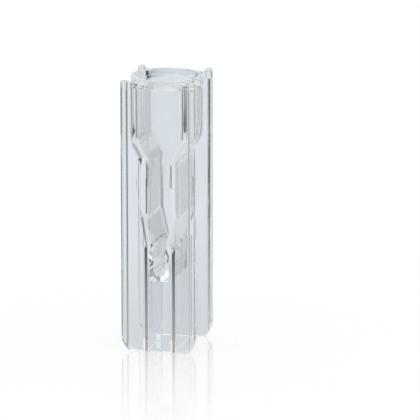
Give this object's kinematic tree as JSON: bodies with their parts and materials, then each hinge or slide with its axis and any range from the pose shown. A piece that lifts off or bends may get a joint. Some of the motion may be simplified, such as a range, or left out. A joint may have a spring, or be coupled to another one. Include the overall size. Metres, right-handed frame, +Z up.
{
  "type": "micro cuvette",
  "caption": "Clear plastic micro cuvette: two beaded plates hold a round filling mouth, a funnel, a narrow slot and a measuring cell above a hollow foot.",
  "frame": {"origin": "middle of the base, on the surface it stands on", "axes": "+Z up to the filling mouth; the light path runs along Y and the front plate is at -Y; X is across the plates"},
  "size_m": [0.0124, 0.0124, 0.0456],
  "materials": {
    "clear_plastic": "clear polished plastic"
  },
  "bodies": {
    "root": {"cuvette": "clear_plastic"}
  },
  "joints": []
}
